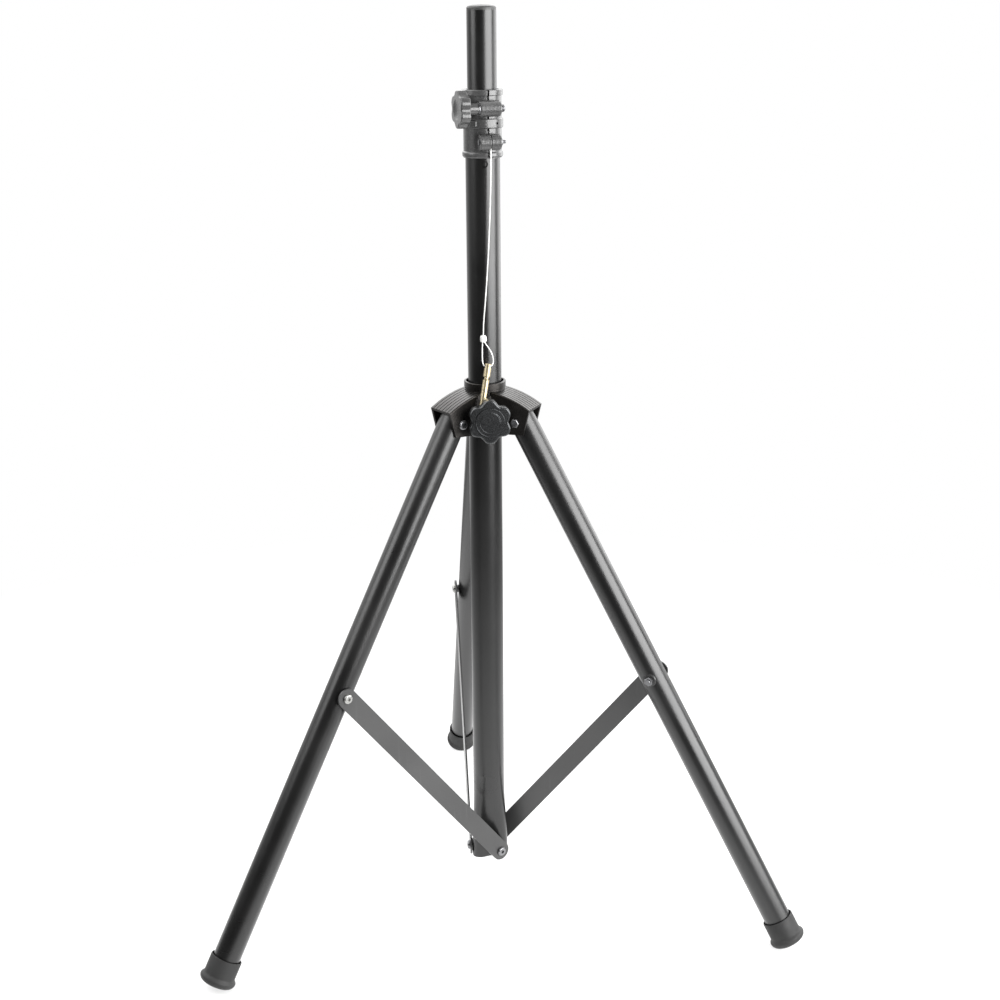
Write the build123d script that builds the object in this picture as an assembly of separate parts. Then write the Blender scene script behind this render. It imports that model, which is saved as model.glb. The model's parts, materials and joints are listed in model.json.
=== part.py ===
"""Tripod stand for a loudspeaker: a 35 mm pole telescopes in a column that three folding legs hold up.

Millimetres, +Z up. The origin is on the floor, under the column's axis. The rear leg points along +Y and
the hub's knob along -Y. Each leg's own pieces are drawn in a plane through the column, with the leg
towards +X, and then turned about Z to the leg's side.
"""

from build123d import *
import math
import os

# Sides of the tripod, and the turn about Z that takes +X to each leg
SIDES = {"left": 210, "right": 330, "rear": 90}

# Column
COLUMN_R = 20.75
COLUMN_WALL = 1.8
COLUMN_BOTTOM = 46.5
COLUMN_TOP = 1012.0
LOBE_TOP = 168.0  # below this height the column is pressed into three lobes, one towards each leg
# Heights up the pressed part, each with how far the lobes' tips swing out and the hollows in
LOBE_SECTIONS = [(LOBE_TOP, 0.0), (140.0, 0.7), (115.0, 2.2), (90.0, 4.1), (66.0, 5.2), (COLUMN_BOTTOM, 5.4)]
SEAT_OFFSET, SEAT_R = 17.5, 9.0  # the flat seat round each brace bolt's hole
PLUG_TOP = 78.0
BOLT_START = 8.0  # the lower brace bolts' inner ends, out from the axis

# Telescoping pole
POLE_R = 17.5
POLE_WALL = 1.6
POLE_BOTTOM, POLE_TOP = 250.0, 1149.0
CAP_HEIGHT, CAP_PLUG = 6.0, 22.0
SEAT_GROOVE_DEPTH, SEAT_GROOVE_WIDTH = 0.3, 1.0
PIN_HOLE_R = 4.2
COLUMN_HOLE_Z = 974.0
POLE_HOLE_Z, PIN_HOLE_STEP, PIN_HOLES = 934.0, 80.0, 8  # the top hole, at the pole's lowest setting
GUIDE_LENGTH, GUIDE_LIP, GUIDE_LIP_R = 40.0, 3.0, 13.0

# Height clamp; its slit faces -Y before the whole clamp is turned
CLAMP_TURN = 12.0
CLAMP_BOTTOM, CLAMP_TOP = 980.5, 1059.5
CLAMP_R = 22.9
CLAMP_RIM_R = 24.4
BEAD_HEIGHT, FLANGE_HEIGHT = 8.0, 7.0
RING_BOTTOM, RING_TOP = 1015.2, 1026.6  # the middle ring, which the slit leaves whole
RING_R = 24.8
RING_HOLE_R, RING_HOLE_ANGLE = 1.6, 27.0
TAB_ANGLE, TAB_SIZE = -41.5, (8.0, 6.0, 7.0)
SLIT, LUG_SEAM = 2.4, 0.8
LUG_R, LUG_HALF, LUG_Y = 9.0, 13.0, -27.5
UPPER_LUG_Z, LOWER_LUG_Z = 1038.5, 1000.0
LINER_R = 19.55
CLAMP_HEAD_LOW, CLAMP_HEAD_HEIGHT = 28.6, 12.0  # the knob's head, out from the middle of the lugs
DISH_R, DISH_DEPTH = 29.0, 2.7
CLAMP_BOLT_END = 33.0  # inside the knob's head

# Hub and its arms
PIVOT_R, PIVOT_Z = 50.0, 662.0
HUB_BOTTOM, HUB_TOP = 645.0, 693.0
HUB_R = 27.0
BUSH_R = 23.0
ARM_HALF = 21.0
ARM_WALL = 3.5
ROOF = [(18.0, 698.0), (46.0, 690.3), (68.0, 679.0)]  # start, middle and end of the roof's arc
CHEEK_CORNER = (60.0, 647.0)
GROOVES, GROOVE_WIDTH, GROOVE_DEPTH = 6, 1.2, 0.7
COLLAR_R, RIM_R = 24.9, 26.0  # the collar above the arms, and the rim that ends it
RIM_BOTTOM, RIM_TOP = 699.4, 707.6
RIM_BORE_R = 23.5
KNOB_Z = 668.0
BOSS_R, BOSS_END = 10.0, 34.0
PAD_R, PAD_END = 5.4, 24.8
HUB_HEAD_LOW, HUB_HEAD_HEIGHT = 46.0, 14.5  # the knob's head, out from the column's axis
FACE_R, FACE_HEIGHT = 17.8, 1.2
KNOB_CAP_R, KNOB_CAP_LOW, KNOB_CAP_HEIGHT = 12.6, 59.7, 2.0
STUD_END = 54.0

# Legs, measured down from the pivot
LEG_R = 17.0
LEG_WALL = 1.5
LEG_ANGLE = 29.4  # from the vertical, opened
LEG_ABOVE, LEG_END = 6.0, 741.0
BOOT_RIM = 716.0
BOOT_BASE_R, BOOT_ROUND = 13.8, 9.0
BOOT_R, BOOT_WAIST = 19.8, 9.0
CONTACT_DEPTH = 0.8  # how far the floor flattens each boot's edge
BRACE_DOWN = 364.0  # the brace's pivot on the leg

# Braces
LOWER_PIVOT_Z = 57.0
BRACE_WIDTH, BRACE_T = 25.0, 2.2
BRACE_Y = 24.5  # the brace's inner face at its lower pivot, beside the leg's plane
BRACE_LEAN = 0.7  # degrees; the brace closes in on the leg's plane towards its top
PIVOT_GAP = 0.15

# Fasteners
M6_R = 3.0
M8_R = 4.0
RUNNING = 0.06
HEAD_R, HEAD_T = 6.0, 3.5

leg_sin, leg_cos = math.sin(math.radians(LEG_ANGLE)), math.cos(math.radians(LEG_ANGLE))
BOOT_END = (PIVOT_Z - BOOT_BASE_R * leg_sin - BOOT_ROUND + CONTACT_DEPTH) / leg_cos + BOOT_ROUND
BRACE_REACH = PIVOT_R + BRACE_DOWN * leg_sin
BRACE_RISE = PIVOT_Z - BRACE_DOWN * leg_cos - LOWER_PIVOT_Z
BRACE_LENGTH = math.hypot(BRACE_REACH, BRACE_RISE)
BRACE_ANGLE = math.degrees(math.atan2(BRACE_REACH, BRACE_RISE))
BRACE_TOP_Y = BRACE_Y - BRACE_LENGTH * math.sin(math.radians(BRACE_LEAN))
UPPER_BOLT_END = BRACE_TOP_Y - 0.5  # the leg's part of the upper bolt stops short of the brace's part

UP = (Align.CENTER, Align.CENTER, Align.MIN)


# ---- Shapes that repeat ----

def rod(radius, low, high):
    """A cylinder on the Z axis from one height to another."""
    return Pos(0, 0, low) * Cylinder(radius, high - low, align=UP)


def pipe(outer, inner, low, high):
    return rod(outer, low, high) - rod(inner, low, high)


def along_y(piece):
    """Turn a piece drawn up the Z axis so that it lies along +Y."""
    return Rot(-90, 0, 0) * piece


def along_x(piece):
    """Turn a piece drawn up the Z axis so that it lies along +X."""
    return Rot(0, 90, 0) * piece


def turned(points):
    """The solid of a closed outline of (radius, height) points, turned about Z."""
    return revolve(make_face(Plane.XZ * Polyline(*points, close=True)), Axis.Z)


def button_head(radius, thickness):
    """A rounded screw head standing on Z = 0, with a hexagon socket."""
    head = Cylinder(radius, thickness, align=UP)
    head = fillet(head.edges().group_by(Axis.Z)[-1], thickness * 0.6)
    socket = extrude(RegularPolygon(radius * 0.42, 6), amount=thickness * 0.6)
    return head - Pos(0, 0, thickness * 0.4) * socket


def hex_nut(across, thickness, hole):
    nut = extrude(RegularPolygon(across / math.sqrt(3), 6), amount=thickness)
    nut = chamfer(nut.edges().group_by(Axis.Z)[-1], 0.6)
    return nut - rod(hole, -1, thickness + 1)


def on_side(piece, side):
    return Rot(0, 0, SIDES[side]) * piece


def on_leg(piece, side):
    """Place a piece drawn down from the pivot, as on a hanging leg, on the opened leg."""
    return on_side(Pos(PIVOT_R, 0, PIVOT_Z) * Rot(0, -LEG_ANGLE, 0) * piece, side)


def on_brace(piece, side):
    """Place a piece drawn up from the lower pivot on the opened brace."""
    leaned = Pos(0, BRACE_Y, 0) * Rot(BRACE_LEAN, 0, 0) * Pos(0, -BRACE_Y, 0) * piece
    return on_side(Pos(0, 0, LOWER_PIVOT_Z) * Rot(0, BRACE_ANGLE, 0) * leaned, side)


def group(pieces):
    return Compound(children=[piece for piece in pieces])


def lobed(tip, valley, lobes, height, edge):
    """A knob's head standing on Z = 0, with broad round lobes and narrower hollows between them."""
    steps = 10 * lobes
    outline = []
    for step in range(steps):
        angle = 2 * math.pi * step / steps
        radius = tip - (tip - valley) * abs(math.sin(lobes * angle / 2)) ** 3
        outline.append((radius * math.cos(angle), radius * math.sin(angle)))
    head = extrude(make_face(Spline(*outline, periodic=True)), amount=height)
    return fillet(head.edges().filter_by(Plane.XY), edge)


# ---- Column ----

def column_section(height, swing, inset):
    """Round, or pressed so that tips point to the legs with hollows between them."""
    if swing == 0:
        return Pos(0, 0, height) * Circle(COLUMN_R - inset)
    outline = []
    steps = 24
    for step in range(steps):
        angle = 2 * math.pi * step / steps
        radius = COLUMN_R - inset + swing * math.cos(3 * (angle - math.pi / 2))
        outline.append((radius * math.cos(angle), radius * math.sin(angle)))
    return Pos(0, 0, height) * make_face(Spline(*outline, periodic=True))


def column_shape(inset):
    """The column's outer form, pressed into three lobes at the bottom, shrunk by inset."""
    shape = loft([column_section(height, swing, inset) for height, swing in LOBE_SECTIONS])
    shape += rod(COLUMN_R - inset, LOBE_TOP, COLUMN_TOP)
    for side in SIDES:
        seat = rod(SEAT_R + inset, SEAT_OFFSET - inset, 40)
        shape -= on_side(Pos(0, 0, LOWER_PIVOT_Z) * along_y(seat), side)
    return shape


def main_tube():
    tube = column_shape(0) - column_shape(COLUMN_WALL)
    tube -= Pos(0, 0, COLUMN_HOLE_Z) * along_y(rod(PIN_HOLE_R, -30, 30))
    for side in SIDES:
        hole = Pos(0, 0, LOWER_PIVOT_Z) * along_y(rod(M6_R + RUNNING, 5, 30))
        tube -= on_side(hole, side)
    return tube


def tube_end_plug():
    plug = column_shape(COLUMN_WALL + 0.05) & rod(30, COLUMN_BOTTOM, PLUG_TOP)
    for side in SIDES:
        plug -= on_side(Pos(0, 0, LOWER_PIVOT_Z) * along_y(rod(M6_R, BOLT_START, 30)), side)
    return plug


def lower_brace_bolt(side):
    bolt = rod(M6_R, BOLT_START, BRACE_Y + BRACE_T + PIVOT_GAP)
    bolt += Pos(0, 0, BRACE_Y + BRACE_T + PIVOT_GAP) * button_head(HEAD_R, HEAD_T)
    return on_side(Pos(0, 0, LOWER_PIVOT_Z) * along_y(bolt), side)


def lower_brace_spacer(side):
    spacer = pipe(SEAT_R - 0.5, M6_R + RUNNING, SEAT_OFFSET, BRACE_Y - PIVOT_GAP)
    return on_side(Pos(0, 0, LOWER_PIVOT_Z) * along_y(spacer), side)


# ---- Height clamp ----

def clamp_lug(height):
    """One screw barrel across the slit, with the web that joins it to the clamp's sleeve."""
    barrel = Pos(-LUG_HALF, LUG_Y, height) * along_x(rod(LUG_R, 0, 2 * LUG_HALF))
    barrel = fillet(barrel.edges().filter_by(GeomType.CIRCLE), 1.0)
    web = Pos(0, LUG_Y / 2 - 4, height) * Box(2 * LUG_HALF - 2, -LUG_Y - 8, 2 * LUG_R - 1)
    return barrel + web


def clamp_slit(low, high):
    """The slit between two heights: open through the sleeve, and nearly closed between the lugs."""
    middle, length, reach = (low + high) / 2, high - low, CLAMP_RIM_R + 1
    sleeve_cut = Pos(0, -reach / 2, middle) * Box(SLIT, reach, length)
    return sleeve_cut + Pos(0, LUG_Y, middle) * Box(LUG_SEAM, 30, length)


def height_clamp():
    sleeve = rod(CLAMP_R, CLAMP_BOTTOM, CLAMP_TOP)
    bead = rod(CLAMP_RIM_R, CLAMP_BOTTOM, CLAMP_BOTTOM + BEAD_HEIGHT)
    ring = rod(RING_R, RING_BOTTOM, RING_TOP)
    flange = rod(CLAMP_RIM_R, CLAMP_TOP - FLANGE_HEIGHT, CLAMP_TOP)
    body = sleeve + fillet(bead.edges(), 3.0) + fillet(ring.edges(), 1.5) + fillet(flange.edges(), 1.0)
    ring_middle = Pos(0, 0, (RING_BOTTOM + RING_TOP) / 2)
    tab = Box(*TAB_SIZE)
    body += ring_middle * Rot(0, 0, TAB_ANGLE) * Pos(0, -RING_R, 0) * fillet(tab.edges(), 1.2)
    body += clamp_lug(UPPER_LUG_Z) + clamp_lug(LOWER_LUG_Z)
    body -= rod(COLUMN_R + 0.05, CLAMP_BOTTOM - 1, COLUMN_TOP + 0.5)
    body -= rod(LINER_R + 0.05, COLUMN_TOP, CLAMP_TOP + 1)
    body -= clamp_slit(CLAMP_BOTTOM - 1, RING_BOTTOM)
    body -= clamp_slit(RING_TOP, CLAMP_TOP + 1)
    body -= Pos(0, LUG_Y - 4, LOWER_LUG_Z - 6) * Box(SLIT, 5, 12)  # a notch for the lanyard's end
    screw_axis = Pos(0, LUG_Y, LOWER_LUG_Z)
    body -= Pos(0, LUG_Y, UPPER_LUG_Z) * along_x(rod(M8_R + RUNNING, -30, 30))
    body -= screw_axis * along_x(rod(M6_R + RUNNING, -30, 30))
    body -= Pos(LUG_HALF - 6, LUG_Y, UPPER_LUG_Z) * along_x(extrude(RegularPolygon(7.6, 6), amount=10))
    body -= Pos(-LUG_HALF - 5, LUG_Y, LOWER_LUG_Z) * along_x(extrude(RegularPolygon(5.9, 6), amount=9))
    return body - ring_middle * Rot(0, 0, RING_HOLE_ANGLE) * along_y(rod(RING_HOLE_R, -30, -22))


def clamp_liner():
    """A slit guide sleeve between the clamp and the pole."""
    bottom, top = COLUMN_TOP + 1.5, CLAMP_TOP - 1
    liner = pipe(LINER_R, POLE_R + RUNNING, bottom, top)
    return liner - Pos(0, -30, (bottom + top) / 2) * Box(SLIT, 60, 60)


def clamp_lower_screw():
    head = Pos(LUG_HALF, 0, 0) * along_x(button_head(4.8, 2.6))
    shank = along_x(rod(M6_R, -LUG_HALF - 1, LUG_HALF))
    tip = along_x(rod(1.9, LUG_HALF + 2.0, LUG_HALF + 6.5))
    return Pos(0, LUG_Y, LOWER_LUG_Z) * (head + shank + tip)


def clamp_lower_nut():
    return Pos(-LUG_HALF + 0.4, LUG_Y, LOWER_LUG_Z) * along_x(hex_nut(10, 3.4, M6_R))


def clamp_nut():
    return Pos(LUG_HALF - 5.8, LUG_Y, UPPER_LUG_Z) * along_x(hex_nut(13, 5.6, M8_R + RUNNING))


def clamp_knob_washer():
    washer = pipe(7.5, M8_R + RUNNING, LUG_HALF + 0.1, LUG_HALF + 1.4)
    return Pos(0, LUG_Y, UPPER_LUG_Z) * Rot(0, -90, 0) * washer


def clamp_knob():
    """The clamp's hand knob, with a dished face; it points along -X before the clamp is turned."""
    head = Pos(0, 0, CLAMP_HEAD_LOW) * lobed(21.9, 18.4, 6, CLAMP_HEAD_HEIGHT, 1.6)
    neck = rod(6.5, LUG_HALF + 1.5, CLAMP_HEAD_LOW + 1)
    face = CLAMP_HEAD_LOW + CLAMP_HEAD_HEIGHT
    dish = Pos(0, 0, face + DISH_R - DISH_DEPTH) * Sphere(DISH_R)
    knob = head + neck - dish - rod(M8_R, 0, CLAMP_BOLT_END)
    return Pos(0, LUG_Y, UPPER_LUG_Z) * Rot(0, -90, 0) * knob


def clamp_knob_bolt():
    bolt = rod(M8_R, -LUG_HALF - 5.5, CLAMP_BOLT_END)
    bolt = chamfer(bolt.edges().group_by(Axis.Z)[0], 0.8)
    return Pos(0, LUG_Y, UPPER_LUG_Z) * Rot(0, -90, 0) * bolt


# ---- Pole ----

def inner_pole():
    pole = pipe(POLE_R, POLE_R - POLE_WALL, POLE_BOTTOM, POLE_TOP)
    groove_z = CLAMP_TOP + 0.5
    pole -= pipe(POLE_R + 1, POLE_R - SEAT_GROOVE_DEPTH, groove_z, groove_z + SEAT_GROOVE_WIDTH)
    for step in range(PIN_HOLES):
        pole -= Pos(0, 0, POLE_HOLE_Z - step * PIN_HOLE_STEP) * along_y(rod(PIN_HOLE_R, -30, 30))
    return pole


def pole_cap():
    """A plug in the pole's top, with a low rounded dome almost as wide as the pole."""
    rim_r, plug_r, top = POLE_R - 0.1, POLE_R - POLE_WALL - 0.05, POLE_TOP + CAP_HEIGHT
    return turned([
        (0, top),
        (10.0, top - 0.5),
        (rim_r - 1.5, top - 1.8),
        (rim_r, top - 3.4),
        (rim_r, POLE_TOP),
        (plug_r, POLE_TOP),
        (plug_r, POLE_TOP - CAP_PLUG),
        (plug_r - 3, POLE_TOP - CAP_PLUG),
        (plug_r - 3, POLE_TOP),
        (0, POLE_TOP),
    ])


def pole_guide_bush():
    """A sleeve on the pole's bottom end, with a lip under it, that slides in the column."""
    outer = COLUMN_R - COLUMN_WALL - RUNNING
    sleeve = pipe(outer, POLE_R + 0.02, POLE_BOTTOM, POLE_BOTTOM + GUIDE_LENGTH)
    return sleeve + pipe(outer, GUIDE_LIP_R, POLE_BOTTOM - GUIDE_LIP, POLE_BOTTOM)


# ---- Hub ----

def roof_arc(drop):
    return ThreePointArc(*[(x, z - drop) for x, z in ROOF])


def arm_region(drop, outline):
    """The face below the roof's arc, lowered by drop, closed through the outline's points."""
    top = roof_arc(drop)
    return Plane.XZ * make_face(Curve() + [top, Polyline(top @ 1, *outline, top @ 0)])


def hub_arm():
    """One channel arm: a grooved roof over two cheeks, open below and at its outer end."""
    inner_x = ROOF[0][0]
    block = extrude(arm_region(0, [CHEEK_CORNER, (inner_x, HUB_BOTTOM)]), amount=ARM_HALF, both=True)
    block = fillet(block.edges().filter_by(GeomType.CIRCLE), 1.6)
    channel = arm_region(ARM_WALL, [(90, 664), (90, 600), (inner_x, 600)])
    block -= extrude(channel, amount=ARM_HALF - ARM_WALL, both=True)
    top, low = roof_arc(-1), roof_arc(GROOVE_DEPTH)
    sides = [Line(top @ 0, low @ 0), Line(top @ 1, low @ 1)]
    strip = extrude(Plane.XZ * make_face(Curve() + [top, low] + sides), amount=GROOVE_WIDTH / 2, both=True)
    pitch = (2 * ARM_HALF - 6) / GROOVES
    for groove in range(GROOVES):
        block -= Pos(0, (groove - (GROOVES - 1) / 2) * pitch, 0) * strip
    return block - Pos(PIVOT_R, 0, PIVOT_Z) * along_y(rod(M6_R + RUNNING, -30, 30))


def on_knob_axis(piece):
    """Lay a piece drawn up the Z axis along -Y, at the height of the hub's knob."""
    return Pos(0, 0, KNOB_Z) * Rot(90, 0, 0) * piece


def hub_body():
    arms = hub_arm()
    body = on_side(arms, "left") + on_side(arms, "right") + on_side(arms, "rear")
    barrel = rod(HUB_R, HUB_BOTTOM, HUB_TOP)
    body += fillet(barrel.edges(), 1.2)
    body += rod(COLLAR_R, HUB_TOP - 5, RIM_BOTTOM + 0.6)
    rim = rod(RIM_R, RIM_BOTTOM, RIM_TOP)
    body += fillet(rim.edges(), 1.0)
    body += on_knob_axis(rod(BOSS_R, 20, BOSS_END))
    body -= rod(BUSH_R + 0.05, HUB_BOTTOM - 1, HUB_TOP + 1)
    body -= rod(RIM_BORE_R, HUB_TOP, RIM_TOP + 1)
    body -= on_knob_axis(rod(M8_R + RUNNING, 20, 40))
    return body - on_knob_axis(rod(PAD_R + 0.3, 15, PAD_END + 2.7))


def hub_bush():
    bush = pipe(BUSH_R, COLUMN_R + RUNNING, HUB_BOTTOM + 1, HUB_TOP + 0.5)
    return bush - on_knob_axis(rod(PAD_R + 0.5, 10, 30))


def leg_pivot_bolt(side):
    bolt = rod(M6_R, -ARM_HALF - 5, ARM_HALF) + Pos(0, 0, ARM_HALF) * button_head(HEAD_R, HEAD_T)
    return on_side(Pos(PIVOT_R, 0, PIVOT_Z) * along_y(bolt), side)


def leg_pivot_nut(side):
    nut = Rot(180, 0, 0) * hex_nut(10, 4.6, M6_R)
    return on_side(Pos(PIVOT_R, -ARM_HALF, PIVOT_Z) * along_y(nut), side)


def hub_pressure_pad():
    """The shoe that the knob's stud presses on the column; its inner face is hollowed to fit."""
    return on_knob_axis(rod(PAD_R, 15, PAD_END)) - rod(COLUMN_R + 0.05, KNOB_Z - 20, KNOB_Z + 20)


def hub_knob():
    """The hub's hand knob: a neck, a six-lobed head with a lobe upwards, and a raised face."""
    head_top = HUB_HEAD_LOW + HUB_HEAD_HEIGHT
    head = Pos(0, 0, HUB_HEAD_LOW) * Rot(0, 0, 90) * lobed(27.4, 22.6, 6, HUB_HEAD_HEIGHT, 2.4)
    face = Cylinder(FACE_R, FACE_HEIGHT, align=UP)
    face = Pos(0, 0, head_top) * fillet(face.edges().group_by(Axis.Z)[-1], 0.6)
    neck_top = HUB_HEAD_LOW + 0.5
    neck_low = BOSS_END + 2.2
    neck = turned([(0, neck_low), (10.5, neck_low), (10.5, 40), (13.5, neck_top), (0, neck_top)])
    cap_seat = rod(KNOB_CAP_R + 0.1, KNOB_CAP_LOW, head_top + FACE_HEIGHT + 1)
    return on_knob_axis(head + face + neck - cap_seat - rod(M8_R, 30, STUD_END))


def hub_knob_cap():
    cap = Cylinder(KNOB_CAP_R, KNOB_CAP_HEIGHT, align=UP)
    return on_knob_axis(Pos(0, 0, KNOB_CAP_LOW) * fillet(cap.edges().group_by(Axis.Z)[-1], 0.8))


def hub_knob_stud():
    return on_knob_axis(rod(M8_R, PAD_END + 0.1, STUD_END))


# ---- Legs, drawn hanging down from the pivot ----

def leg_tube():
    tube = pipe(LEG_R, LEG_R - LEG_WALL, -LEG_END, LEG_ABOVE)
    tube -= along_y(rod(M6_R + RUNNING, -30, 30))
    return tube - Pos(0, 0, -BRACE_DOWN) * along_y(rod(M6_R + RUNNING, -30, 30))


def leg_top_insert():
    """A plug in the leg's top with a domed end; the pivot bolt runs through it."""
    plug = rod(LEG_R - LEG_WALL - 0.05, -26, LEG_ABOVE)
    dome = rod(LEG_R - 0.3, LEG_ABOVE, LEG_ABOVE + 4)
    dome = fillet(dome.edges().group_by(Axis.Z)[-1], 3.5)
    return plug + dome - along_y(rod(M6_R + RUNNING, -30, 30))


def rubber_boot(side):
    """A rubber foot with a bulging base, flattened a little where it meets the floor."""
    bulge_r = BOOT_BASE_R + BOOT_ROUND
    base = ThreePointArc(
        (BOOT_BASE_R, -BOOT_END),
        (BOOT_BASE_R + BOOT_ROUND * math.sqrt(0.5), -BOOT_END + BOOT_ROUND * (1 - math.sqrt(0.5))),
        (bulge_r, -BOOT_END + BOOT_ROUND),
    )
    waist = Spline(
        (bulge_r, -BOOT_END + BOOT_ROUND),
        (BOOT_R, -BOOT_END + BOOT_ROUND + BOOT_WAIST),
        tangents=((0, 1), (0, 1)),
    )
    wall = Polyline(
        waist @ 1,
        (BOOT_R, -BOOT_RIM - 1),
        (BOOT_R - 0.8, -BOOT_RIM),
        (LEG_R + 1.7, -BOOT_RIM),
        (LEG_R + 0.05, -BOOT_RIM - 4),
        (LEG_R + 0.05, -LEG_END - 0.1),
        (0, -LEG_END - 0.1),
        (0, -BOOT_END),
        base @ 0,
    )
    boot = on_leg(revolve(Plane.XZ * make_face(Curve() + [base, waist, wall]), Axis.Z), side)
    return boot - Pos(0, 0, -50) * Box(2000, 2000, 100)


def upper_bolt_shank():
    """The leg's share of the brace's upper bolt: it stops just short of the brace."""
    shank = rod(M6_R, -LEG_R - 7, UPPER_BOLT_END)
    return Pos(0, 0, -BRACE_DOWN) * along_y(shank)


def upper_bolt_nut():
    nut = Pos(0, 0, -LEG_R - 0.2) * Rot(180, 0, 0) * hex_nut(10, 4.6, M6_R)
    return Pos(0, 0, -BRACE_DOWN) * along_y(nut)


def upper_bolt_spacer():
    spacer = pipe(5.5, M6_R, LEG_R - 0.2, UPPER_BOLT_END)
    spacer = Pos(0, 0, -BRACE_DOWN) * along_y(spacer)
    return spacer - rod(LEG_R + 0.02, -BRACE_DOWN - 10, -BRACE_DOWN + 10)


# ---- Braces, drawn standing up from the lower pivot ----

def brace():
    """A flat bar with rounded ends and a pivot hole at each end."""
    outline = SlotCenterToCenter(BRACE_LENGTH, BRACE_WIDTH, rotation=90)
    bar = Pos(0, BRACE_Y + BRACE_T, BRACE_LENGTH / 2) * Rot(90, 0, 0) * extrude(outline, amount=BRACE_T)
    bar -= along_y(rod(M6_R + RUNNING, 0, 40))
    return bar - Pos(0, 0, BRACE_LENGTH) * along_y(rod(M6_R + RUNNING, 0, 40))


def upper_bolt_head():
    """The head end of the brace's upper bolt, which stays in the brace."""
    stub = rod(M6_R, BRACE_Y, BRACE_Y + BRACE_T)
    head = Pos(0, 0, BRACE_Y + BRACE_T) * button_head(HEAD_R, HEAD_T)
    return Pos(0, 0, BRACE_LENGTH) * along_y(stub + head)


# ---- Lanyard ----

WIRE_R = 0.75
FERRULE = (-4.1, -25.9, 765.0)
FERRULE_R, FERRULE_HALF = 3.9, 4.4
WIRE_ROUTE = [
    (6.6, -30.8, 998.0),
    (6.3, -30.8, 962.0),
    (4.8, -30.2, 915.0),
    (2.2, -29.0, 862.0),
    (-1.2, -27.4, 812.0),
    (-3.9, -26.4, 785.0),
    (-4.1, -25.9, FERRULE[2] + FERRULE_HALF + 0.05),
]
LOOP_ROUTE = [
    (-5.2, -25.8, 761.4),
    (-5.7, -27.0, 753.5),
    (-5.9, -28.4, 744.5),
    (-5.9, -30.3, 734.6),
    (-2.1, -31.4, 731.0),
    (3.1, -32.0, 731.0),
    (7.2, -31.9, 734.6),
    (7.3, -30.7, 741.4),
    (5.3, -29.3, 748.5),
    (1.6, -27.6, 754.8),
    (-3.0, -25.9, 761.2),
]
PIN_TOP, PIN_BOTTOM = (1.4, -31.2, 735.0), (-8.2, -40.4, 681.0)
PIN_R, PIN_NECK_R, PIN_HEAD_R = 3.9, 2.6, 4.3
PIN_HEAD_LENGTH, PIN_NECK_LENGTH = 16.0, 4.0


def wire(name, route):
    """A wire along straight runs joined by arcs, each as large as its runs allow."""
    points = [Vector(*point) for point in route]
    radii = []
    for before, here, after in zip(points, points[1:], points[2:]):
        turn = math.radians((here - before).get_angle(after - here))
        shorter = min((here - before).length, (after - here).length)
        radii.append(0.45 * shorter / math.tan(turn / 2))
    path = FilletPolyline(*points, radius=radii)
    print(name, "length", round(path.length, 1), "radii", [round(radius, 1) for radius in radii])
    section = Plane(path @ 0, z_dir=path % 0) * Circle(WIRE_R)
    solid = sweep(section, path=path)
    expected = math.pi * WIRE_R**2 * path.length
    print(name, "volume against section times length", round(solid.volume / expected, 4))
    return solid


def lanyard_ferrule():
    """The crimp that closes the lanyard's loop: a short barrel with rounded ends."""
    barrel = rod(FERRULE_R, -FERRULE_HALF, FERRULE_HALF)
    return Pos(*FERRULE) * fillet(barrel.edges(), 2.2)


def locking_pin():
    """A turned pin with a neck below its head, a cross hole for the loop and a detent ball."""
    top, bottom = Vector(*PIN_TOP), Vector(*PIN_BOTTOM)
    length = (top - bottom).length
    neck = length - PIN_HEAD_LENGTH
    pin = turned([
        (0, 0),
        (PIN_R - 0.7, 0),
        (PIN_R, 1.2),
        (PIN_R, neck - PIN_NECK_LENGTH),
        (PIN_NECK_R, neck - PIN_NECK_LENGTH + 0.6),
        (PIN_NECK_R, neck - 0.6),
        (PIN_HEAD_R, neck),
        (PIN_HEAD_R, length - 0.8),
        (PIN_HEAD_R - 0.7, length),
        (0, length),
    ])
    pin += Pos(3.0, 0, 9) * Sphere(1.9)
    frame = Plane(bottom, x_dir=(1, 0, 0), z_dir=top - bottom)
    return frame * pin - Pos(0.6, -32, 732.1) * Rot(0, 0, -6.5) * along_x(rod(2.7, -12, 12))


def write(name, piece):
    export_step(piece, f"parts/{name}.step")


os.makedirs("parts", exist_ok=True)

write("main_tube", main_tube())
write("tube_end_plug", tube_end_plug())
write("lower_brace_bolts", group(lower_brace_bolt(side) for side in SIDES))
write("lower_brace_spacers", group(lower_brace_spacer(side) for side in SIDES))

clamp_pieces = {
    "height_clamp": height_clamp(),
    "clamp_liner": clamp_liner(),
    "clamp_lower_screw": clamp_lower_screw(),
    "clamp_lower_nut": clamp_lower_nut(),
    "clamp_nut": clamp_nut(),
    "clamp_knob_washer": clamp_knob_washer(),
    "clamp_knob": clamp_knob(),
    "clamp_knob_bolt": clamp_knob_bolt(),
}
for name, piece in clamp_pieces.items():
    write(name, Rot(0, 0, CLAMP_TURN) * piece)

write("inner_pole", inner_pole())
write("pole_cap", pole_cap())
write("pole_guide_bush", pole_guide_bush())

write("hub_body", hub_body())
write("hub_bush", hub_bush())
write("leg_pivot_bolts", group(leg_pivot_bolt(side) for side in SIDES))
write("leg_pivot_nuts", group(leg_pivot_nut(side) for side in SIDES))
write("hub_pressure_pad", hub_pressure_pad())
write("hub_knob", hub_knob())
write("hub_knob_cap", hub_knob_cap())
write("hub_knob_stud", hub_knob_stud())

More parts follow.
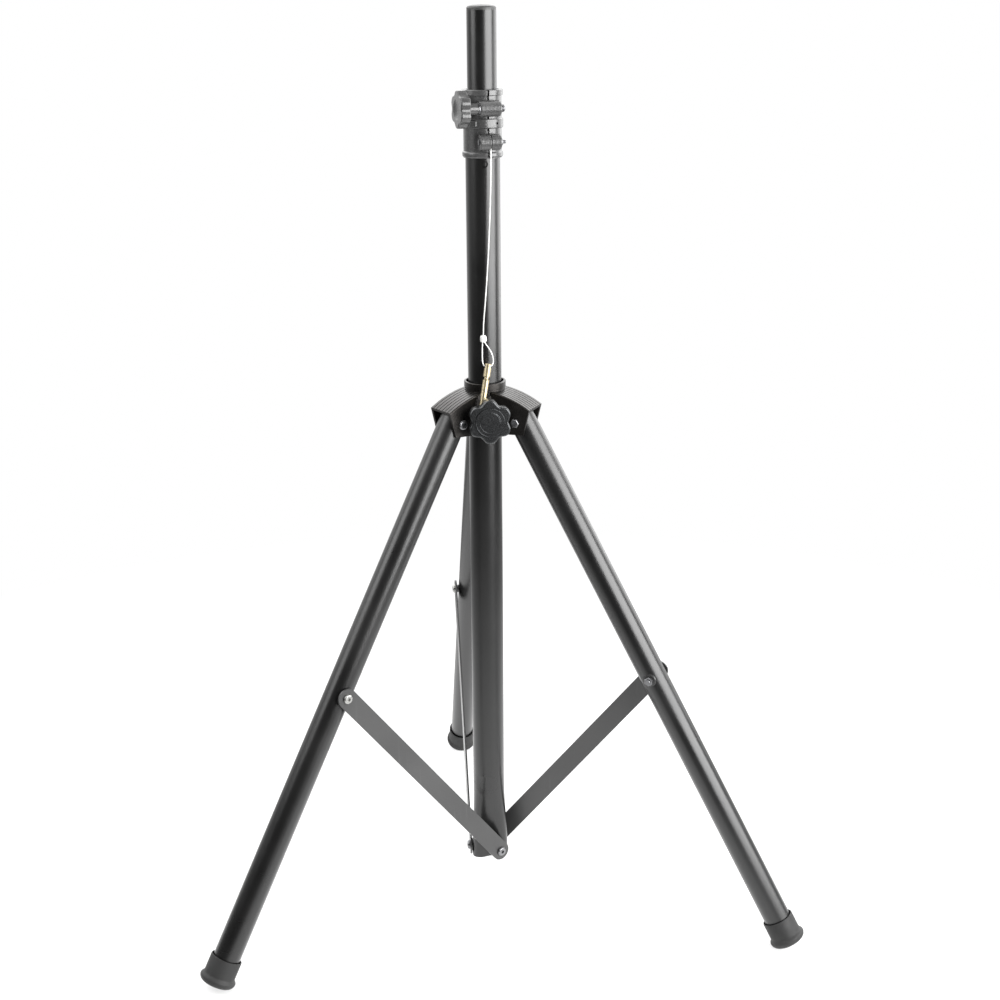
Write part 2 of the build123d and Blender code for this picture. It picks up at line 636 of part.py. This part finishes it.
for side in SIDES:
    write(f"leg_tube_{side}", on_leg(leg_tube(), side))
    write(f"leg_insert_{side}", on_leg(leg_top_insert(), side))
    write(f"rubber_boot_{side}", rubber_boot(side))
    write(f"upper_bolt_shank_{side}", on_leg(upper_bolt_shank(), side))
    write(f"upper_bolt_nut_{side}", on_leg(upper_bolt_nut(), side))
    write(f"upper_bolt_spacer_{side}", on_leg(upper_bolt_spacer(), side))
    write(f"brace_{side}", on_brace(brace(), side))
    write(f"upper_bolt_head_{side}", on_brace(upper_bolt_head(), side))

write("lanyard_wire", wire("lanyard_wire", WIRE_ROUTE))
write("lanyard_ferrule", lanyard_ferrule())
write("lanyard_loop", wire("lanyard_loop", LOOP_ROUTE))
write("locking_pin", locking_pin())
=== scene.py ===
"""The speaker stand's looks: materials, the lanyard, small detail pieces, the studio and the camera.

Everything is in metres, in the frame's own axes: +Z up, the rear leg along +Y, the hub's knob towards -Y.
"""

import json
import math

import bmesh
import bpy
from mathutils import Matrix, Quaternion, Vector


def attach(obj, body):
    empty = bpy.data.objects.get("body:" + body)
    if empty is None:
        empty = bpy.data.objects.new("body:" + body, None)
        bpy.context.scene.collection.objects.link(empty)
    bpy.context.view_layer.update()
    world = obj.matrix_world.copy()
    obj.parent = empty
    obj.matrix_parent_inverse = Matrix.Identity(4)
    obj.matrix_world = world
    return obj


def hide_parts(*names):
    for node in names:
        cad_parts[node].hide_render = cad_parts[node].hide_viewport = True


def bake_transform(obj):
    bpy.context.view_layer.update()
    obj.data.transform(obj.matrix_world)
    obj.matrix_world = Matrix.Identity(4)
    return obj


MM = 0.001
SHARP = math.radians(38)
SIDES = {"left": 210.0, "right": 330.0, "rear": 90.0}

# Camera
CAMERA_PLACE = Vector((-0.2047, -1.9309, 1.1650))
CAMERA_AIM = Vector((0.1092, 0.9471, -0.3019))
CAMERA_ROLL = math.radians(-0.41)
CAMERA_LENS = 57.4
SENSOR = 36.0

# The object's own sizes, in millimetres, that the detail pieces follow
CLAMP_TURN = 12.0
UPPER_LUG_Z, LOWER_LUG_Z, LUG_Y, LUG_R = 1038.5, 1000.0, -27.5, 9.0
RIBS_END, RIBS_SEAM = 11.6, 0.6  # the ribs' ends on a screw barrel, out from its middle
RIB_PITCH, RIB_DEPTH = 1.6, 0.35
KNOB_Z = 668.0
PIVOT_R, PIVOT_Z = 50.0, 662.0
LEG_ANGLE, BRACE_DOWN = 29.4, 364.0
M8_R, M8_PITCH = 4.0, 1.25
M6_R, M6_PITCH = 3.0, 1.0

# The rubber feet, measured down the leg from its pivot
BOOT_RIM, BOOT_FLOOR = 716.0, 741.1  # the sleeve's rim, and the floor inside it that the tube stands on
BOOT_BORE, BOOT_R, BULGE_R = 17.05, 19.8, 22.8
SOLE_ROUND, WAIST_HEIGHT = 7.0, 5.7
CONTACT_DEPTH = 0.8  # how far the floor flattens the sole's edge

# Lanyard
WIRE_DIAMETER = 1.5 * MM
FERRULE_Z = 765.0
FERRULE_HALF = 4.4
WIRE_ROUTE = [
    (6.6, -30.8, 998.0),
    (6.3, -30.8, 962.0),
    (4.8, -30.2, 915.0),
    (2.2, -29.0, 862.0),
    (-1.2, -27.4, 812.0),
    (-3.9, -26.4, 785.0),
    (-4.1, -25.9, FERRULE_Z + FERRULE_HALF + 0.05),
]
LOOP_ROUTE = [
    (-5.2, -25.8, 761.4),
    (-5.7, -27.0, 753.5),
    (-5.9, -28.4, 744.5),
    (-5.9, -30.3, 734.6),
    (-2.1, -31.4, 731.0),
    (3.1, -32.0, 731.0),
    (7.2, -31.9, 734.6),
    (7.3, -30.7, 741.4),
    (5.3, -29.3, 748.5),
    (1.6, -27.6, 754.8),
    (-3.0, -25.9, 761.2),
]


# ---- Materials ----

def map_range(tree, value, start, end, low, high):
    """A node that maps value from start..end to low..high, and its result."""
    made = tree.nodes.new("ShaderNodeMapRange")
    tree.links.new(value, made.inputs["Value"])
    for socket, number in (("From Min", start), ("From Max", end), ("To Min", low), ("To Max", high)):
        made.inputs[socket].default_value = number
    return made.outputs["Result"]


class Recipe:
    """A Principled material and short calls that add its nodes."""

    def __init__(self, name, **sockets):
        self.material = bpy.data.materials.new(name)
        self.material.use_nodes = True
        self.nodes = self.material.node_tree.nodes
        self.links = self.material.node_tree.links
        self.shader = self.nodes["Principled BSDF"]
        self.place = self.node("ShaderNodeTexCoord").outputs["Object"]
        for socket, value in sockets.items():
            self.shader.inputs[socket.replace("_", " ")].default_value = value

    def node(self, kind, **inputs):
        """A new node; an input is given a value, or linked if it is another node's output."""
        made = self.nodes.new(kind)
        for name, value in inputs.items():
            socket = made.inputs[name.replace("_", " ")]
            if isinstance(value, bpy.types.NodeSocket):
                self.links.new(value, socket)
            else:
                socket.default_value = value
        return made

    def noise(self, scale, detail=2.0, stretch=(1, 1, 1)):
        """Noise from 0 to 1 with its grains 1/scale metres apart, drawn out along stretch."""
        spread = self.node("ShaderNodeMapping", Vector=self.place, Scale=stretch)
        made = self.node("ShaderNodeTexNoise", Vector=spread.outputs["Vector"], Scale=scale, Detail=detail)
        return made.outputs["Fac"]

    def span(self, value, low, high, start=0.0, end=1.0):
        """Maps value from start..end to low..high, held at both ends."""
        return map_range(self.material.node_tree, value, start, end, low, high)

    def blend(self, factor, first, second):
        """The first colour mixed into the second by a factor from 0 to 1."""
        made = self.nodes.new("ShaderNodeMix")
        made.data_type = "RGBA"
        for index, value in ((0, factor), (6, first), (7, second)):
            if isinstance(value, bpy.types.NodeSocket):
                self.links.new(value, made.inputs[index])
            else:
                made.inputs[index].default_value = value
        return made.outputs[2]

    def set(self, socket, value):
        """Drives one of the shader's sockets from another node's output."""
        self.links.new(value, self.shader.inputs[socket])

    def bump(self, height, depth):
        """Adds relief of a true depth in metres."""
        made = self.node("ShaderNodeBump", Height=height, Distance=depth, Strength=1.0)
        self.set("Normal", made.outputs["Normal"])


def grey(value, tint=(1.0, 1.0, 1.0)):
    """A grey as a socket's colour, with each part scaled by the tint."""
    return tuple(value * part for part in tint) + (1,)


def powder_coat(name, dark, light, roughness):
    """Powder coat: fine orange peel, slightly cloudy, with faint rubbed streaks along Z."""
    made = Recipe(name, Specular_IOR_Level=0.5)
    cloud = made.noise(9.0, 4.0)
    peel = made.noise(900.0, 2.0)
    streaks = made.noise(260.0, 3.0, stretch=(1, 1, 0.04))
    base = made.blend(made.span(cloud, 0, 1, 0.35, 0.65), grey(dark), grey(light))
    rubbed = made.span(streaks, 0, 0.35, 0.62, 0.8)
    made.set("Base Color", made.blend(rubbed, base, grey(light * 2.2)))
    made.set("Roughness", made.span(cloud, roughness - 0.04, roughness + 0.05, 0.3, 0.7))
    made.bump(peel, 0.00006)
    return made.material


def moulded(name, dark, light, roughness, grain=1400.0, depth=0.00008, tint=(1, 1, 1), specular=0.5):
    """Moulded plastic with a fine spark-eroded grain and slight flow marks."""
    made = Recipe(name, Specular_IOR_Level=specular, Specular_Tint=(*tint, 1))
    flow = made.noise(38.0, 3.0)
    fine = made.noise(grain, 3.0)
    base = made.blend(made.span(flow, 0, 1, 0.3, 0.7), grey(dark, tint), grey(light, tint))
    made.set("Base Color", made.blend(made.span(fine, 0, 0.5, 0.5, 0.8), base, grey(light * 1.6, tint)))
    made.set("Roughness", made.span(fine, roughness - 0.07, roughness + 0.08, 0.3, 0.7))
    made.bump(fine, depth)
    return made.material


def rubber(name):
    """Black rubber, turning greyer towards the floor, with fine pits."""
    made = Recipe(name, Specular_IOR_Level=0.36)
    height = made.node("ShaderNodeSeparateXYZ", Vector=made.place).outputs["Z"]
    cloud = made.noise(60.0, 5.0)
    pits = made.noise(1600.0, 2.0)
    # The colour turns a warmer grey over the lowest 3 cm above the floor, most at the floor itself.
    greyer_low = made.span(height, 0.55, 0.0, 0.0, 0.03)
    base = made.blend(made.span(cloud, 0, 1, 0.3, 0.7), grey(0.007), grey(0.013))
    made.set("Base Color", made.blend(greyer_low, base, grey(0.024, (1.0, 0.99, 0.95))))
    made.set("Roughness", made.span(cloud, 0.55, 0.75, 0.3, 0.7))
    made.bump(pits, 0.00008)
    return made.material


def plated(name, colour, roughness):
    """Plated steel: fine turning marks and a slightly uneven colour."""
    made = Recipe(name, Metallic=1.0)
    cloud = made.noise(420.0, 4.0)
    marks = made.noise(5200.0, 2.0)
    paler = tuple(min(1.0, part * 1.2) for part in colour)
    base = made.blend(made.span(cloud, 0, 1, 0.3, 0.7), (*colour, 1), (*paler, 1))
    made.set("Base Color", base)
    made.set("Roughness", made.span(cloud, roughness - 0.06, roughness + 0.1, 0.3, 0.7))
    made.bump(marks, 0.00003)
    return made.material


def coated_wire(name):
    """Steel strands under a clear, slightly milky coating."""
    made = Recipe(name, Coat_Weight=0.8, Coat_Roughness=0.15)
    cloud = made.noise(900.0, 3.0)
    made.set("Base Color", made.blend(cloud, grey(0.50), grey(0.70, (1.0, 0.99, 0.95))))
    made.set("Roughness", made.span(cloud, 0.3, 0.45, 0.3, 0.7))
    return made.material


def make_materials():
    """The materials by the record's slot names."""
    return {
        "powder_coat": powder_coat("powder_coat", 0.004, 0.007, 0.30),
        "brace_steel": powder_coat("brace_steel", 0.024, 0.034, 0.34),
        "hub_plastic": moulded("hub_plastic", 0.004, 0.007, 0.33, tint=(1.0, 0.94, 0.89), specular=0.30),
        "clamp_plastic": moulded("clamp_plastic", 0.036, 0.056, 0.23, grain=1100.0, specular=0.5),
        "knob_plastic": moulded("knob_plastic", 0.006, 0.011, 0.28, tint=(0.94, 0.97, 1.0)),
        "cap_plastic": moulded("cap_plastic", 0.020, 0.030, 0.5),
        "bush_nylon": moulded("bush_nylon", 0.015, 0.022, 0.4),
        "boot_rubber": rubber("boot_rubber"),
        "dark_zinc": plated("dark_zinc", (0.16, 0.16, 0.165), 0.32),
        "bright_zinc": plated("bright_zinc", (0.30, 0.30, 0.29), 0.30),
        "yellow_zinc": plated("yellow_zinc", (0.34, 0.29, 0.19), 0.38),
        "coated_wire": coated_wire("coated_wire"),
    }


def paint_nodes(frame, materials):
    """Gives each CAD node its slot's material."""
    for part in frame["record"]["subparts"]:
        piece = frame["nodes"][part["node"]]
        piece.data.materials.clear()
        piece.data.materials.append(materials[part["material_slot"]])


# ---- Lanyard ----

def route_line(name, route):
    """The points of the smooth line that a route's points pull into shape."""
    curve = bpy.data.curves.new(name, "CURVE")
    curve.dimensions = "3D"
    spline = curve.splines.new("NURBS")
    spline.points.add(len(route) - 1)
    for point, place in zip(spline.points, route):
        point.co = (*(Vector(place) * MM), 1.0)
    spline.order_u = 3
    spline.use_endpoint_u = True
    spline.resolution_u = 40
    holder = bpy.data.objects.new(name, curve)
    bpy.context.scene.collection.objects.link(holder)
    bpy.context.view_layer.update()
    line = bpy.data.meshes.new_from_object(holder)
    points = [vertex.co.copy() for vertex in line.vertices]
    bpy.data.objects.remove(holder)
    bpy.data.meshes.remove(line)
    return points


def strand_tube(name, points, radius, strands=7, lay=0.011, relief=0.07):
    """A coated wire rope along points: a tube whose section is lobed by the strands, twisting as it goes."""
    around = 6 * strands
    mesh = bmesh.new()
    rings = []
    travelled = 0.0
    side = Vector((1, 0, 0))
    for index, point in enumerate(points):
        before, after = points[max(index - 1, 0)], points[min(index + 1, len(points) - 1)]
        along = (after - before).normalized()
        side = (side - along * side.dot(along)).normalized()
        other = along.cross(side)
        if index:
            travelled += (point - before).length
        twist = 2 * math.pi * travelled / lay
        ring = []
        for step in range(around):
            angle = 2 * math.pi * step / around
            reach = radius * (1 - relief * abs(math.sin(strands * (angle - twist / strands) / 2)))
            ring.append(mesh.verts.new(point + (side * math.cos(angle) + other * math.sin(angle)) * reach))
        rings.append(ring)
    for low, high in zip(rings, rings[1:]):
        for step in range(around):
            follow = (step + 1) % around
            mesh.faces.new((low[step], low[follow], high[follow], high[step]))
    mesh.faces.new(list(reversed(rings[0])))
    mesh.faces.new(rings[-1])
    return finish_mesh(name, mesh)


def finish_mesh(name, mesh, smooth=True):
    """Turns a bmesh into a scene object, smooth but for its sharp edges."""
    data = bpy.data.meshes.new(name)
    bmesh.ops.recalc_face_normals(mesh, faces=mesh.faces[:])
    for edge in mesh.edges:
        edge.smooth = edge.calc_face_angle(0) < SHARP
    mesh.to_mesh(data)
    mesh.free()
    for face in data.polygons:
        face.use_smooth = smooth
    made = bpy.data.objects.new(name, data)
    bpy.context.scene.collection.objects.link(made)
    return made


def resample(points, step):
    """The same line with its points evenly spaced, about step apart."""
    lengths = [0.0]
    for first, second in zip(points, points[1:]):
        lengths.append(lengths[-1] + (second - first).length)
    count = max(2, round(lengths[-1] / step))
    made = []
    run = 0
    for index in range(count + 1):
        target = lengths[-1] * index / count
        while run < len(points) - 2 and lengths[run + 1] < target:
            run += 1
        share = (target - lengths[run]) / max(lengths[run + 1] - lengths[run], 1e-12)
        made.append(points[run].lerp(points[run + 1], min(share, 1.0)))
    return made


def make_lanyard(materials):
    """The lanyard's wire and its loop."""
    wire_line = resample(route_line("wire_route", WIRE_ROUTE), 0.6 * MM)
    wire = strand_tube("lanyard_cable", wire_line, WIRE_DIAMETER / 2)
    wire.data.materials.append(materials["coated_wire"])
    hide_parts("lanyard_wire")
    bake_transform(wire)

    loop_line = resample(route_line("loop_route", LOOP_ROUTE), 0.5 * MM)
    loop = strand_tube("lanyard_eye_loop", loop_line, WIRE_DIAMETER / 2)
    loop.data.materials.append(materials["coated_wire"])
    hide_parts("lanyard_loop")
    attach(loop, "hub")


# ---- Small detail pieces ----

def at(place, axis):
    """The matrix that stands a piece drawn up +Z, in metres, at a place in millimetres, along an axis."""
    turn = Vector(axis).to_track_quat("Z", "Y").to_matrix().to_4x4()
    return Matrix.Translation(Vector(place) * MM) @ turn


def lathe(name, outline, where, segments=72, on_floor=False):
    """A closed outline of (radius, height) points, in millimetres, turned about its axis."""
    mesh = bmesh.new()
    rings = []
    for step in range(segments):
        angle = 2 * math.pi * step / segments
        around = (math.cos(angle) * MM, math.sin(angle) * MM)
        rings.append([mesh.verts.new((r * around[0], r * around[1], z * MM)) for r, z in outline])
    for step, here in enumerate(rings):
        after = rings[(step + 1) % segments]
        for index in range(len(outline)):
            follow = (index + 1) % len(outline)
            if outline[index][0] or outline[follow][0]:
                mesh.faces.new((here[index], after[index], after[follow], here[follow]))
    bmesh.ops.remove_doubles(mesh, verts=mesh.verts, dist=1e-7)
    mesh.transform(where)
    if on_floor:
        for vertex in mesh.verts:
            vertex.co.z = max(vertex.co.z, 0.0)
    return finish_mesh(name, mesh)


def thread(name, radius, low, high, pitch, where, steps=40):
    """A screw thread's ridge on a plain shank of that radius, between two heights on its axis."""
    mesh = bmesh.new()
    count = round(steps * (high - low) / pitch)
    crest, root, half = 0.3 * pitch, 0.05, 0.4 * pitch
    before = None
    for index in range(count + 1):
        angle = 2 * math.pi * index / steps
        middle = low + (high - low) * index / count
        swell = min(1.0, index / (steps / 2), (count - index) / (steps / 2))
        section = [
            (radius - root, max(low, middle - half)),
            (radius + crest * swell, middle),
            (radius - root, min(high, middle + half)),
        ]
        here = [
            mesh.verts.new((r * math.cos(angle) * MM, r * math.sin(angle) * MM, z * MM))
            for r, z in section
        ]
        if before:
            for first, second in ((0, 1), (1, 2), (2, 0)):
                mesh.faces.new((before[first], before[second], here[second], here[first]))
        before = here
    mesh.transform(where)
    return finish_mesh(name, mesh)


def dress(piece, body, slot, materials):
    """Gives a piece its slot's material and makes it ride on a body."""
    piece.data.materials.append(materials[slot])
    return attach(piece, body)


def bead(radius, base, half, rise):
    """The outline of a small rounded ring of that radius, standing rise above base and sunk below it."""
    return [
        (radius - half, base - 0.3),
        (radius - half, base),
        (radius - half * 0.6, base + rise * 0.8),
        (radius, base + rise),
        (radius + half * 0.6, base + rise * 0.8),
        (radius + half, base),
        (radius + half, base - 0.3),
    ]


def ribbed_sleeve(radius, low, high, pitch, depth):
    """The outline of a thin sleeve whose outside is moulded into round ribs."""
    ribs = round((high - low) / pitch)
    outline = [(radius - 0.4, high), (radius - 0.4, low)]
    for rib in range(ribs):
        for share, rise in ((0.0, 0.0), (0.2, 0.75), (0.5, 1.0), (0.8, 0.75)):
            outline.append((radius + depth * rise, low + (high - low) * (rib + share) / ribs))
    outline.append((radius, high))
    return outline


def make_clamp_details(materials):
    """Ribs round the clamp's screw barrels, and the threads that show past them."""
    turn = Matrix.Rotation(math.radians(CLAMP_TURN), 4, "Z")
    upper = turn @ at((0, LUG_Y, UPPER_LUG_Z), (1, 0, 0))
    lower = turn @ at((0, LUG_Y, LOWER_LUG_Z), (1, 0, 0))
    for name, axis, low, high in (
        ("upper", upper, -RIBS_END, RIBS_END),
        ("lower_left", lower, -RIBS_END, -RIBS_SEAM),
        ("lower_right", lower, RIBS_SEAM, RIBS_END),
    ):
        ribs = lathe(f"clamp_ribs_{name}", ribbed_sleeve(LUG_R, low, high, RIB_PITCH, RIB_DEPTH), axis)
        dress(ribs, "base", "clamp_plastic", materials)
    bolt_end = thread("clamp_bolt_thread", M8_R, 13.2, 17.7, M8_PITCH, upper)
    dress(bolt_end, "clamp_knob", "dark_zinc", materials)
    screw_end = thread("clamp_screw_thread", 1.9, 15.8, 19.3, 0.8, lower)
    dress(screw_end, "base", "dark_zinc", materials)
    eye = lathe("lanyard_eye", [(3.3, -0.8), (5.1, -0.8), (5.4, 0), (5.1, 0.8), (3.3, 0.8)], lower)
    dress(eye, "base", "coated_wire", materials)


def make_knob_details(materials):
    """The two fine raised rings on the hub knob's face, and its stud's thread."""
    axis = at((0, 0, KNOB_Z), (0, -1, 0))
    for name, radius, base in (("inner", 12.9, 61.6), ("outer", 17.5, 61.5)):
        ring = lathe(f"hub_knob_ring_{name}", bead(radius, base, 0.35, 0.45), axis, segments=96)
        dress(ring, "hub_knob", "knob_plastic", materials)
    stud = thread("hub_stud_thread", M8_R, 34.2, 36.1, M8_PITCH, axis)
    dress(stud, "hub_knob", "dark_zinc", materials)


def boot_outline(steps=10):
    """A boot's outline down the leg: a flat sole, its round edge, the bulge's waist and the sleeve."""
    sole_r = BULGE_R - SOLE_ROUND
    tilt = math.radians(LEG_ANGLE)
    reach = PIVOT_Z - sole_r * math.sin(tilt) - SOLE_ROUND + CONTACT_DEPTH
    sole = -(reach / math.cos(tilt) + SOLE_ROUND)
    outline = [(0, sole)]
    for step in range(steps + 1):
        angle = math.pi / 2 * step / steps
        rise = SOLE_ROUND * (1 - math.cos(angle))
        outline.append((sole_r + SOLE_ROUND * math.sin(angle), sole + rise))
    for step in range(1, steps + 1):
        share = step / steps
        radius = BULGE_R + (BOOT_R - BULGE_R) * (1 - math.cos(math.pi * share)) / 2
        outline.append((radius, sole + SOLE_ROUND + WAIST_HEIGHT * share))
    outline += [(BOOT_R, -BOOT_RIM - 1.0), (BOOT_R - 0.3, -BOOT_RIM - 0.3), (BOOT_R - 1.0, -BOOT_RIM)]
    outline += [(BOOT_BORE + 1.5, -BOOT_RIM), (BOOT_BORE, -BOOT_RIM - 4), (BOOT_BORE, -BOOT_FLOOR)]
    return outline + [(0, -BOOT_FLOOR)]


def make_boot(side, leg, materials):
    """The rubber foot, pressed flat where it meets the floor."""
    boot = lathe(f"rubber_foot_{side}", boot_outline(), leg, segments=96, on_floor=True)
    dress(boot, f"leg_{side}", "boot_rubber", materials)
    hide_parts(f"rubber_boot_{side}")


def make_brace_nut_details(side, leg, materials):
    """The saddle washer under the brace bolt's nut, and the thread beyond the nut."""
    nut_side = leg @ at((0, 0, -BRACE_DOWN), (0, -1, 0))
    outline = [(3.2, 13.4), (8.6, 13.4), (8.6, 16.2), (8.1, 16.9), (7.2, 17.15), (3.2, 17.15)]
    washer = lathe(f"saddle_washer_{side}", outline, nut_side)
    dress(washer, f"leg_{side}", "bush_nylon", materials)
    end = thread(f"brace_bolt_thread_{side}", M6_R, 21.9, 23.9, M6_PITCH, nut_side)
    dress(end, f"leg_{side}", "dark_zinc", materials)


def make_leg_details(side, materials):
    """What a leg carries, drawn down from its pivot and placed on the opened leg."""
    leg = Matrix.Rotation(math.radians(SIDES[side]), 4, "Z")
    leg = leg @ Matrix.Translation((PIVOT_R * MM, 0, PIVOT_Z * MM))
    leg = leg @ Matrix.Rotation(math.radians(-LEG_ANGLE), 4, "Y")
    make_boot(side, leg, materials)
    make_brace_nut_details(side, leg, materials)


# ---- Studio ----

def make_camera():
    """The camera, held at the stand's height and tipped a little down."""
    data = bpy.data.cameras.new("camera")
    data.lens = CAMERA_LENS
    data.sensor_width = SENSOR
    camera = bpy.data.objects.new("camera", data)
    bpy.context.scene.collection.objects.link(camera)
    camera.location = CAMERA_PLACE
    camera.rotation_mode = "QUATERNION"
    roll = Quaternion((0, 0, 1), CAMERA_ROLL)
    camera.rotation_quaternion = CAMERA_AIM.to_track_quat("-Z", "Y") @ roll
    bpy.context.scene.camera = camera


def panel(name, azimuth, distance, height, width, tall, power, aim=0.7):
    """A soft light on a stand; azimuth is measured from -Y towards +X."""
    data = bpy.data.lights.new(name, "AREA")
    data.shape = "RECTANGLE"
    data.size = width
    data.size_y = tall
    data.energy = power
    lamp = bpy.data.objects.new(name, data)
    bpy.context.scene.collection.objects.link(lamp)
    angle = math.radians(azimuth)
    lamp.location = (distance * math.sin(angle), -distance * math.cos(angle), height)
    facing = Vector((0, 0, aim)) - lamp.location
    lamp.rotation_mode = "QUATERNION"
    lamp.rotation_quaternion = facing.to_track_quat("-Z", "Y")
    lamp.visible_camera = False
    return lamp


def make_lights():
    """The studio's four soft panels."""
    panel("key", azimuth=50, distance=1.9, height=1.15, width=2.1, tall=1.7, power=135, aim=1.0)
    panel("rim", azimuth=120, distance=1.9, height=1.2, width=1.6, tall=1.8, power=26, aim=1.0)
    panel("left", azimuth=-75, distance=1.9, height=1.6, width=1.2, tall=1.3, power=25, aim=1.1)
    panel("top", azimuth=-60, distance=1.2, height=2.6, width=2.0, tall=2.0, power=34, aim=0.5)


def make_world():
    """White to the camera; elsewhere a dim room in front and a bright wall and ceiling behind the stand."""
    world = bpy.data.worlds.new("studio")
    bpy.context.scene.world = world
    world.use_nodes = True
    tree = world.node_tree
    place = tree.nodes.new("ShaderNodeTexCoord")
    parts = tree.nodes.new("ShaderNodeSeparateXYZ")
    tree.links.new(place.outputs["Generated"], parts.inputs["Vector"])
    wall = map_range(tree, parts.outputs["Y"], -0.1, 0.8, low=0.03, high=1.1)
    ceiling = map_range(tree, parts.outputs["Z"], 0.1, 0.4, low=1.0, high=4.0)
    glow = tree.nodes.new("ShaderNodeMath")
    glow.operation = "MULTIPLY"
    tree.links.new(wall, glow.inputs[0])
    tree.links.new(ceiling, glow.inputs[1])
    seen = tree.nodes.new("ShaderNodeLightPath").outputs["Is Camera Ray"]
    strength = tree.nodes.new("ShaderNodeMix")
    tree.links.new(seen, strength.inputs[0])
    tree.links.new(glow.outputs["Value"], strength.inputs[2])
    strength.inputs[3].default_value = 1.0
    background = tree.nodes["Background"]
    tree.links.new(strength.outputs[0], background.inputs["Strength"])
    background.inputs["Color"].default_value = (1, 1, 1, 1)


def make_floor(radius=1.6, rings=48):
    """A round white floor that fades at its rim into the white of the room.

    Towards the object it glows more near the middle than at the rim; the camera sees it plain white.
    """
    mesh = bmesh.new()
    bmesh.ops.create_circle(mesh, cap_ends=True, radius=radius, segments=4 * rings)
    floor = finish_mesh("floor", mesh, smooth=False)
    made = Recipe("floor_white", Roughness=0.9, Specular_IOR_Level=0.1, Base_Color=grey(0.82))
    distance = made.node("ShaderNodeVectorMath", Vector=made.place)
    distance.operation = "LENGTH"
    rim = made.span(distance.outputs["Value"], 0.65, 1.0, 0.55, radius - 0.1)
    bounce = made.span(distance.outputs["Value"], 2.2, 0.35, 0.3, 1.2)
    seen = made.node("ShaderNodeLightPath").outputs["Is Camera Ray"]
    strength = made.node("ShaderNodeMix")
    made.links.new(seen, strength.inputs[0])
    made.links.new(bounce, strength.inputs[2])
    strength.inputs[3].default_value = 1.0
    glow = made.node("ShaderNodeEmission", Strength=strength.outputs[0])
    mix = made.node("ShaderNodeMixShader", Fac=rim)
    made.links.new(made.shader.outputs["BSDF"], mix.inputs[1])
    made.links.new(glow.outputs["Emission"], mix.inputs[2])
    made.links.new(mix.outputs["Shader"], made.nodes["Material Output"].inputs["Surface"])
    floor.data.materials.append(made.material)


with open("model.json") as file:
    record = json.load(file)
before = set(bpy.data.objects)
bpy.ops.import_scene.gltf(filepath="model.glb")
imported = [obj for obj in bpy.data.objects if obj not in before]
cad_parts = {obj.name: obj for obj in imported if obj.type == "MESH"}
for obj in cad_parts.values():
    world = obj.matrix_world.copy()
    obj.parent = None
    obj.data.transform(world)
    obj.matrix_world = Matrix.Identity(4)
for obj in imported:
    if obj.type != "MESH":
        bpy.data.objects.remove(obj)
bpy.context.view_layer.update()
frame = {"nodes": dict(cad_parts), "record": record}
materials = make_materials()
make_camera()
make_lanyard(materials)
make_clamp_details(materials)
make_knob_details(materials)
for side in SIDES:
    make_leg_details(side, materials)
paint_nodes(frame, materials)
make_lights()
make_world()
make_floor()
bpy.context.scene.view_settings.view_transform = "Standard"
bpy.context.view_layer.update()
